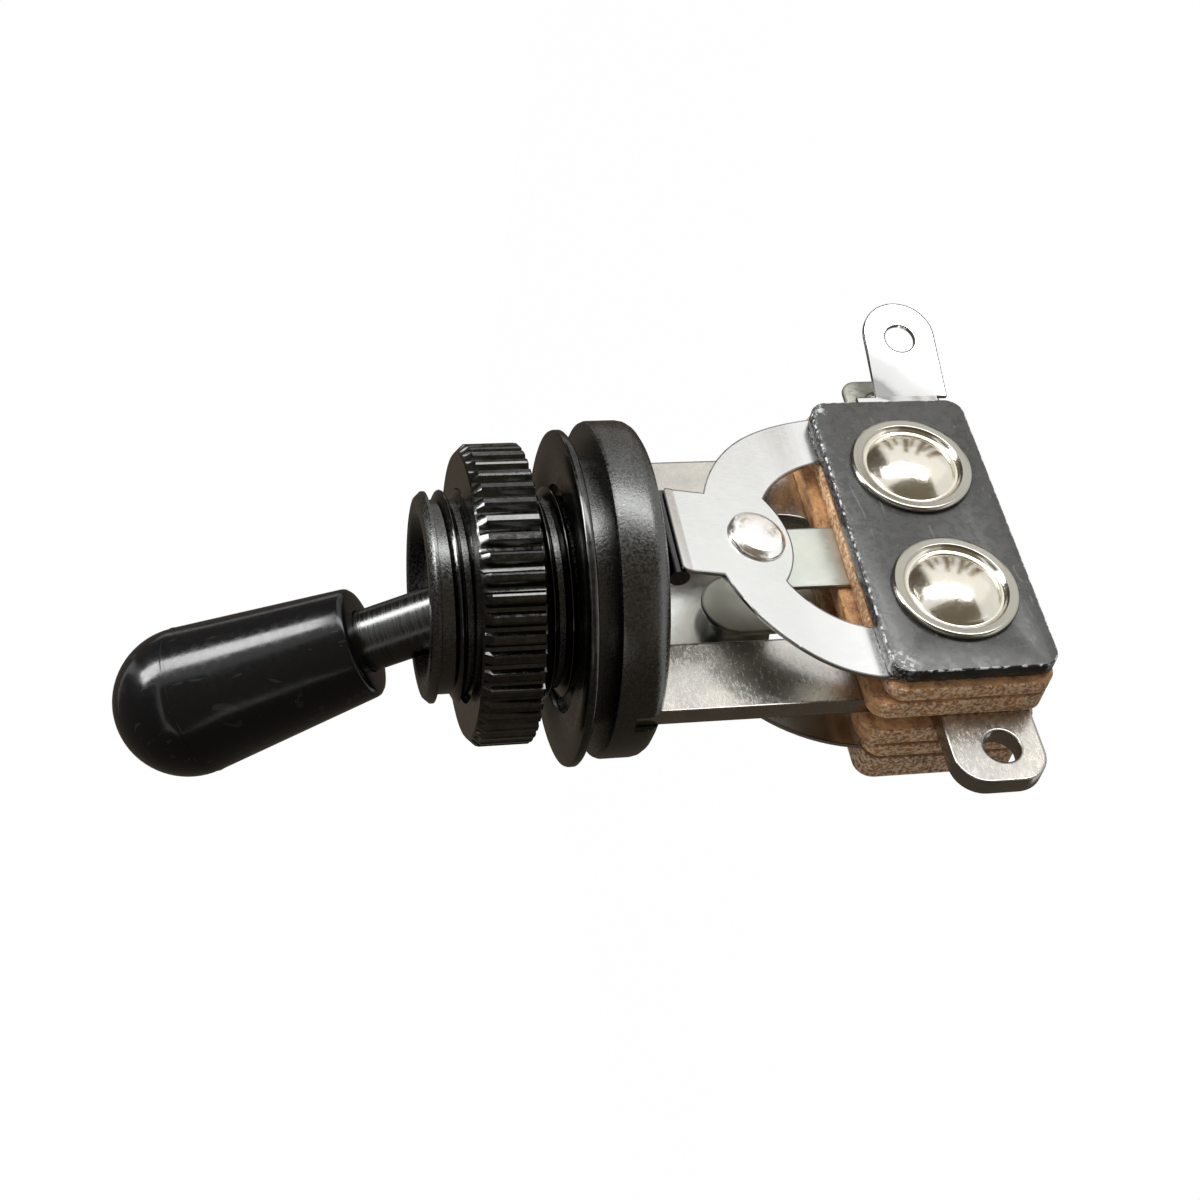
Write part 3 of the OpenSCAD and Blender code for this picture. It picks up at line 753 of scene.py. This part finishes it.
class SWITCH_OT_thread(Operator):
    """Make the bushing's thread: one ridge wound up the nose"""

    bl_idname = "switch.thread"
    bl_label = "Thread"

    def execute(self, context):
        shape = context.scene.switch_shape
        pitch, depth = shape.thread_pitch, shape.thread_depth
        start, end = -0.45 * MM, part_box("bushing")[1].z - 0.95 * MM
        per_turn = 72
        steps = int((end - start) / pitch * per_turn)
        outer, root = NOSE_R * MM, NOSE_R * MM - depth - 0.25 * MM
        blunt = outer - 0.03 * MM
        half, crest = pitch * 0.47, pitch * 0.07
        bm = bmesh.new()
        section = [bm.verts.new((r, 0, z)) for r, z in (
            (root, start - half), (blunt, start - crest), (outer, start),
            (blunt, start + crest), (root, start + half))]
        face = bm.faces.new(section)
        bmesh.ops.spin(bm, geom=[face] + face.edges[:] + section, cent=(0, 0, 0),
                       axis=(0, 0, 1), dvec=(0, 0, (end - start) / steps),
                       angle=math.tau * steps / per_turn, steps=steps, use_merge=False)
        bmesh.ops.recalc_face_normals(bm, faces=bm.faces)
        piece = add_piece("bushing_thread", bm, "frame", (), 50)
        dress(piece, "thread_black")
        return {"FINISHED"}


class SWITCH_OT_nut(Operator):
    """Make the round nut: one tooth with soft edges, repeated round the ring"""

    bl_idname = "switch.nut"
    bl_label = "Nut"

    def execute(self, context):
        shape = context.scene.switch_shape
        low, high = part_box("knurled_nut")
        outer, bore = max(high.x, high.y), 6.05 * MM
        inner = outer - shape.tooth_depth
        step = math.tau / shape.nut_teeth
        # the outline of one tooth, from groove to groove: share of the tooth and radius
        floor, flank, shoulder = inner + 0.02 * MM, inner + 0.07 * MM, outer - 0.06 * MM
        outline = ((0.0, floor), (0.10, inner), (0.20, flank), (0.32, shoulder), (0.42, outer),
                   (0.68, outer), (0.78, shoulder), (0.90, flank), (1.0, floor))
        # up the outside with its bevels, over the front and down the bore: height of each row
        # and the widest that it may be
        rows = ((low.z, outer - 0.08 * MM), (low.z + 0.08 * MM, outer),
                (high.z - 0.5 * MM, outer), (high.z - 0.1 * MM, outer - 0.38 * MM),
                (high.z, outer - 0.5 * MM), (high.z, bore), (low.z, bore))
        bm = bmesh.new()
        rims = [[bm.verts.new((min(r, limit) * math.cos(step * t),
                               min(r, limit) * math.sin(step * t), z)) for t, r in outline]
                for z, limit in rows]
        for rim, after in zip(rims, rims[1:] + rims[:1]):
            for i in range(len(outline) - 1):
                bm.faces.new((rim[i], rim[i + 1], after[i + 1], after[i]))
        bmesh.ops.spin(bm, geom=bm.verts[:] + bm.edges[:] + bm.faces[:], cent=(0, 0, 0),
                       axis=(0, 0, 1), angle=math.tau - step, steps=shape.nut_teeth - 1,
                       use_duplicate=True, use_merge=False)
        close(bm, 0.004 * MM)
        piece = add_piece("knurled_nut_ring", bm, "nut", ["knurled_nut"], 28)
        dress(piece, "nut_black")
        return {"FINISHED"}


class SWITCH_OT_washer(Operator):
    """Make the panel washer with its rounded rim, hanging off centre"""

    bl_idname = "switch.washer"
    bl_label = "Washer"

    def execute(self, context):
        low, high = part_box("panel_washer")
        r, hole, rear, front = (high.x - low.x) / 2 / MM, 6.5, low.z / MM, high.z / MM
        bm = lathe([(hole, rear), (hole, front - 0.06), (hole + 0.06, front), (r - 0.14, front),
                    (r - 0.04, front - 0.04), (r, front - 0.14), (r, rear + 0.1),
                    (r - 0.1, rear)], 128, closed=True)
        hang = (low + high) / 2
        bmesh.ops.translate(bm, verts=bm.verts, vec=(hang.x, hang.y, 0))
        piece = add_piece("washer_ring", bm, "frame", ["panel_washer"], 50)
        dress(piece, "washer_black")
        return {"FINISHED"}


class SWITCH_OT_sheets(Operator):
    """Soften the edges of the bracket, the cover plates, the spacers and the fixed contacts"""

    bl_idname = "switch.sheets"
    bl_label = "Cut sheets"

    def execute(self, context):
        edge = context.scene.switch_shape.plate_edge
        sheets = {
            "bracket": ("bracket_blank", "bracket_nickel", edge * 1.2),
            "front_plate": ("front_cover", "plate_black", edge * 1.3),
            "rear_plate": ("rear_cover", "plate_brown", edge * 1.4),
            "front_outer_spacer": ("front_outer_sheet", "spacer_brown", edge * 1.3),
            "front_inner_spacer": ("front_inner_sheet", "spacer_brown", edge * 1.4),
            "rear_inner_spacer": ("rear_inner_sheet", "spacer_brown", edge * 1.4),
            "rear_outer_spacer": ("rear_outer_sheet", "spacer_brown", edge * 1.3),
            "front_fixed_contact": ("front_blade", "fixed_contact", edge),
            "rear_fixed_contact": ("rear_blade", "fixed_contact", edge),
        }
        for node, (name, slot, width) in sheets.items():
            bm = sheet_copy(node)
            bright = slot in ("bracket_nickel", "fixed_contact")
            soften(bm, width, line=BORDER * MM if bright else 0.0)
            piece = add_piece(name, bm, "frame", [node], 40)
            dress(piece, slot)
        return {"FINISHED"}


class SWITCH_OT_leaves(Operator):
    """Make the two springing leaves, cut into rows along their length, and their staked contacts
    """

    bl_idname = "switch.leaves"
    bl_label = "Leaves"

    def execute(self, context):
        edge = context.scene.switch_shape.plate_edge
        root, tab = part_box("front_plate")[1].z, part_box("front_moving_leaf")[1].z
        row = 0.7 * MM               # the leaves are cut into rows this far apart
        rows = math.ceil((tab - root) / row)
        for node, name, slot, width in (
                ("front_moving_leaf", "front_leaf", "leaf_spring", edge * 1.5),
                ("rear_moving_leaf", "rear_leaf", "leaf_spring", edge * 1.5),
                ("front_moving_contact", "front_staked_contact", "contact_silver", edge * 2),
                ("rear_moving_contact", "rear_staked_contact", "contact_silver", edge * 2)):
            bm = sheet_copy(node)
            if slot == "contact_silver":
                soften(bm, width)
            else:
                soften(bm, width, 50, BORDER * MM)
            for i in range(rows):
                bmesh.ops.bisect_plane(bm, geom=bm.verts[:] + bm.edges[:] + bm.faces[:],
                                       plane_co=(0, 0, root + (tab - root) * i / rows),
                                       plane_no=(0, 0, 1))
            bmesh.ops.triangulate(bm, faces=bm.faces)
            piece = add_piece(name, bm, None, [node], 40)
            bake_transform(piece)
            dress(piece, slot)
        for node in ("front_contact_button", "rear_contact_button"):
            dress(frame["nodes"][node], "contact_silver")
        return {"FINISHED"}


class SWITCH_OT_rivets(Operator):
    """Make the two rivets with their round heads and ringed rims, and finish the sleeves"""

    bl_idname = "switch.rivets"
    bl_label = "Rivets"

    def execute(self, context):
        face = -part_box("front_plate")[0].y / MM
        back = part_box("rear_plate")[1].y / MM
        shank, rear_r = 1.5, 2.8
        for node in ("left_rivet", "right_rivet"):
            low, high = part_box(node)
            middle = (low + high) / 2
            r = (high.x - low.x) / 2 / MM
            # the round middle is part of a ball; rings run round the flat rim
            ball, foot_r, steps = 4.46, 2.66, 14
            foot = math.asin(foot_r / ball)
            profile = [(ball * math.sin(a), face + 1.0 - ball * (1 - math.cos(a)))
                       for a in (foot * i / steps for i in range(steps + 1))]
            profile += [(ring, face + height) for ring, height in (
                (2.74, 0.1), (2.84, 0.14), (2.93, 0.27), (3.02, 0.37), (3.1, 0.4),
                (3.17, 0.385), (3.24, 0.41), (3.32, 0.395), (3.4, 0.42), (3.47, 0.405),
                (3.56, 0.38), (r, 0.22), (r - 0.04, 0.08), (r - 0.2, 0.0))]
            profile += [(shank, face), (shank, -back), (rear_r, -back), (rear_r, -back - 0.3),
                        (2.6, -back - 0.5), (2.2, -back - 0.62), (0.0, -back - 0.65)]
            bm = lathe(profile, 160)
            mark = bm.faces.layers.float.new("edge")
            for rim in bm.faces:
                outside = rim.calc_center_median().xy.length > 2.9 * MM
                rim[mark] = CUT_SIDE if outside else 0.0
            bmesh.ops.rotate(bm, verts=bm.verts, cent=(0, 0, 0),
                             matrix=Matrix.Rotation(math.pi / 2, 3, "X"))
            bmesh.ops.translate(bm, verts=bm.verts, vec=(middle.x, 0, middle.z))
            piece = add_piece(node + "_turned", bm, "frame", [node], 50)
            dress(piece, "rivet_nickel")
        for node in ("left_sleeve", "right_sleeve"):
            dress(frame["nodes"][node], "sleeve_insulation")
        return {"FINISHED"}


# ---------------------------------------------------------------- stage

# the camera's place and axes in the frame of the switch
EYE = Vector((-68.719 * MM, -84.625 * MM, 20.988 * MM))
RIGHT = Vector((-0.16782, -0.13582, -0.97642))
UP = Vector((0.77280, -0.63307, -0.04476))
BACK = Vector((-0.61206, -0.76209, 0.21121))

# places below are metres right, up and back from what they face, along the camera's axes

# name, place, size and watts of each lamp; the glint faces the tip, the others the middle
LAMPS = (
    ("key", (0.14, 0.30, 0.04), (0.42, 0.32), 0.09),
    ("strip", (0.05, 0.252, 0.163), (0.34, 0.09), 0.66),
    ("fill", (0.30, -0.05, 0.20), (0.25, 0.25), 0.08),
    ("glint", (-0.063, 0.067, 0.039), (0.08, 0.034), 0.16))

# cards that only gloss reflects: name, place, level axis, size and colour
SHADE, DUN, BROWN = (0.11, 0.09, 0.07), (0.19, 0.16, 0.12), (0.20, 0.12, 0.045)
CARDS = (
    ("front_card", (0.3, 0.0, 0.45), RIGHT, (1.9, 1.0), DUN),
    ("under_card", (0.0, -0.42, 0.0), RIGHT, (1.1, 0.9), SHADE),
    ("end_card", (-0.45, -0.1, 0.1), BACK, (0.8, 0.7), SHADE),
    ("behind_card", (0.0, -0.04, -0.40), RIGHT, (1.4, 0.92), SHADE),
    ("left_card", (-0.24, 0.33, 0.0), RIGHT, (0.38, 0.6), SHADE))
# a comb of brown slats high behind: place to the right, width and length of each
SLATS = ((-0.05, 0.025, 0.14), (0.0, 0.02, 0.22), (0.035, 0.014, 0.16), (0.075, 0.022, 0.25),
         (0.105, 0.012, 0.17), (0.14, 0.02, 0.26), (0.175, 0.016, 0.18), (0.22, 0.03, 0.22))
SLAT_HEIGHT, SLAT_ROOT = 0.27, -0.25


def spot(right, up, back):
    """A vector from its lengths along the camera's axes."""
    return RIGHT * right + UP * up + BACK * back


def facing(place, away, across):
    """Places something so that its -Z looks back along away, with its X along across."""
    z = away.normalized()
    y = z.cross(across).normalized()
    x = y.cross(z)
    return Matrix(((x.x, y.x, z.x, place.x), (x.y, y.y, z.y, place.y),
                   (x.z, y.z, z.z, place.z), (0, 0, 0, 1)))


def seen(tree):
    """1 for camera, glossy and transmission rays, 0 for the rest."""
    rays = tree.nodes.new("ShaderNodeLightPath").outputs
    total = math_node(tree, "ADD", rays["Is Camera Ray"], rays["Is Glossy Ray"], True)
    return math_node(tree, "ADD", total, rays["Is Transmission Ray"], True)


def stage_finish(name, base, roughness, glow):
    """A matt material that shines with a colour of its own; returns it with its shader."""
    material = bpy.data.materials.new(name)
    material.use_nodes = True
    shader = material.node_tree.nodes["Principled BSDF"]
    shader.inputs["Base Color"].default_value = base + (1.0,)
    shader.inputs["Roughness"].default_value = roughness
    shader.inputs["Specular IOR Level"].default_value = 0.0
    shader.inputs["Emission Color"].default_value = glow + (1.0,)
    shader.inputs["Emission Strength"].default_value = 1.0
    return material, shader


def stage_sheet(name, size, place, material):
    """A flat rectangle of the stage."""
    bm = bmesh.new()
    bmesh.ops.create_grid(bm, x_segments=1, y_segments=1, size=0.5)
    bmesh.ops.scale(bm, vec=(*size, 1), verts=bm.verts)
    bm.transform(place)
    mesh = bpy.data.meshes.new(name)
    bm.to_mesh(mesh)
    bm.free()
    mesh.materials.append(material)
    sheet = bpy.data.objects.new(name, mesh)
    bpy.context.scene.collection.objects.link(sheet)
    return sheet


class SWITCH_OT_stage(Operator):
    """Set the floor, the sky, the camera, the lamps and the cards"""

    bl_idname = "switch.stage"
    bl_label = "Stage"

    def execute(self, context):
        scene = context.scene
        stage = scene.switch_stage
        middle = Vector((0, 0, -5 * MM))
        self.pale_room(scene, CAD_BOX[0].z - stage.floor_drop)

        camera = bpy.data.objects.new("camera", bpy.data.cameras.new("camera"))
        camera.data.lens = stage.lens
        camera.data.sensor_width = 36
        camera.data.clip_start = 0.005
        camera.matrix_world = Matrix((
            (RIGHT.x, UP.x, BACK.x, EYE.x), (RIGHT.y, UP.y, BACK.y, EYE.y),
            (RIGHT.z, UP.z, BACK.z, EYE.z), (0, 0, 0, 1)))
        scene.collection.objects.link(camera)
        scene.camera = camera
        scene.view_settings.view_transform = "Standard"

        low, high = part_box("lever_tip")
        tip = (low + high) / 2
        for name, place, size, power in LAMPS:
            place = spot(*place)
            aim, across = (tip, tip - PIVOT) if name == "glint" else (middle, RIGHT)
            lamp = bpy.data.lights.new(name, "AREA")
            lamp.shape = "RECTANGLE"
            lamp.size, lamp.size_y = size
            lamp.energy = power
            holder = bpy.data.objects.new(name, lamp)
            holder.matrix_world = facing(aim + place, place, across)
            scene.collection.objects.link(holder)

        slats = tuple(
            ("slat_%d" % i, (aside, SLAT_HEIGHT, drop / 2 + SLAT_ROOT), RIGHT, (wide, drop), BROWN)
            for i, (aside, wide, drop) in enumerate(SLATS, 1))
        for name, place, across, size, colour in CARDS + slats:
            place = spot(*place)
            material, _ = stage_finish("card", (0, 0, 0), 0.5, colour)
            card = stage_sheet(name, size, facing(middle + place, place, across), material)
            card.visible_camera = card.visible_diffuse = card.visible_shadow = False
            card.visible_transmission = False
        return {"FINISHED"}

    @staticmethod
    def pale_room(scene, height):
        """A floor that keeps the shadow, and a sky; both show whiter than they light."""
        material, shader = stage_finish("floor_pale", (0.3, 0.3, 0.3), 0.9, (1, 1, 1))
        tree = material.node_tree
        level = math_node(tree, "MULTIPLY", seen(tree), 0.86)
        tree.links.new(level, shader.inputs["Emission Strength"])
        stage_sheet("floor", (4, 4), Matrix.Translation((0, 0, height)), material)

        scene.world = bpy.data.worlds.new("sky")
        scene.world.use_nodes = True
        tree = scene.world.node_tree
        sky = tree.nodes["Background"]
        sky.inputs["Color"].default_value = (1, 1, 1, 1)
        level = math_node(tree, "ADD", math_node(tree, "MULTIPLY", seen(tree), 0.55), 0.45)
        tree.links.new(level, sky.inputs["Strength"])


# ---------------------------------------------------------------- add-on


class SWITCH_PT_panel(Panel):
    """Lists the switch's settings and pieces"""

    bl_idname = "SWITCH_PT_panel"
    bl_label = "Panel toggle switch"
    bl_space_type = "VIEW_3D"
    bl_region_type = "UI"
    bl_category = "Switch"

    def draw(self, context):
        for label, settings in (("Shape", context.scene.switch_shape),
                                ("Finish", context.scene.switch_finish),
                                ("Stage", context.scene.switch_stage)):
            box = self.layout.box()
            box.label(text=label)
            for name in settings.bl_rna.properties.keys():
                if name not in ("rna_type", "name"):
                    box.prop(settings, name)
        for step in STEPS:
            self.layout.operator(step.bl_idname)


STEPS = (SWITCH_OT_lever, SWITCH_OT_tip, SWITCH_OT_bushing, SWITCH_OT_thread, SWITCH_OT_nut,
         SWITCH_OT_washer, SWITCH_OT_sheets, SWITCH_OT_leaves, SWITCH_OT_rivets, SWITCH_OT_stage)
CLASSES = (SwitchShape, SwitchFinish, SwitchStage) + STEPS + (SWITCH_PT_panel,)


def register():
    for cls in CLASSES:
        bpy.utils.register_class(cls)
    bpy.types.Scene.switch_shape = PointerProperty(type=SwitchShape)
    bpy.types.Scene.switch_finish = PointerProperty(type=SwitchFinish)
    bpy.types.Scene.switch_stage = PointerProperty(type=SwitchStage)


def unregister():
    for name in ("switch_shape", "switch_finish", "switch_stage"):
        delattr(bpy.types.Scene, name)
    for cls in reversed(CLASSES):
        bpy.utils.unregister_class(cls)


def main():
    register()
    make_groups()
    bpy.ops.switch.lever()
    bpy.ops.switch.tip()
    bpy.ops.switch.bushing()
    bpy.ops.switch.thread()
    bpy.ops.switch.nut()
    bpy.ops.switch.washer()
    bpy.ops.switch.sheets()
    bpy.ops.switch.leaves()
    bpy.ops.switch.rivets()
    bpy.ops.switch.stage()


if __name__ == "__main__":
    main()
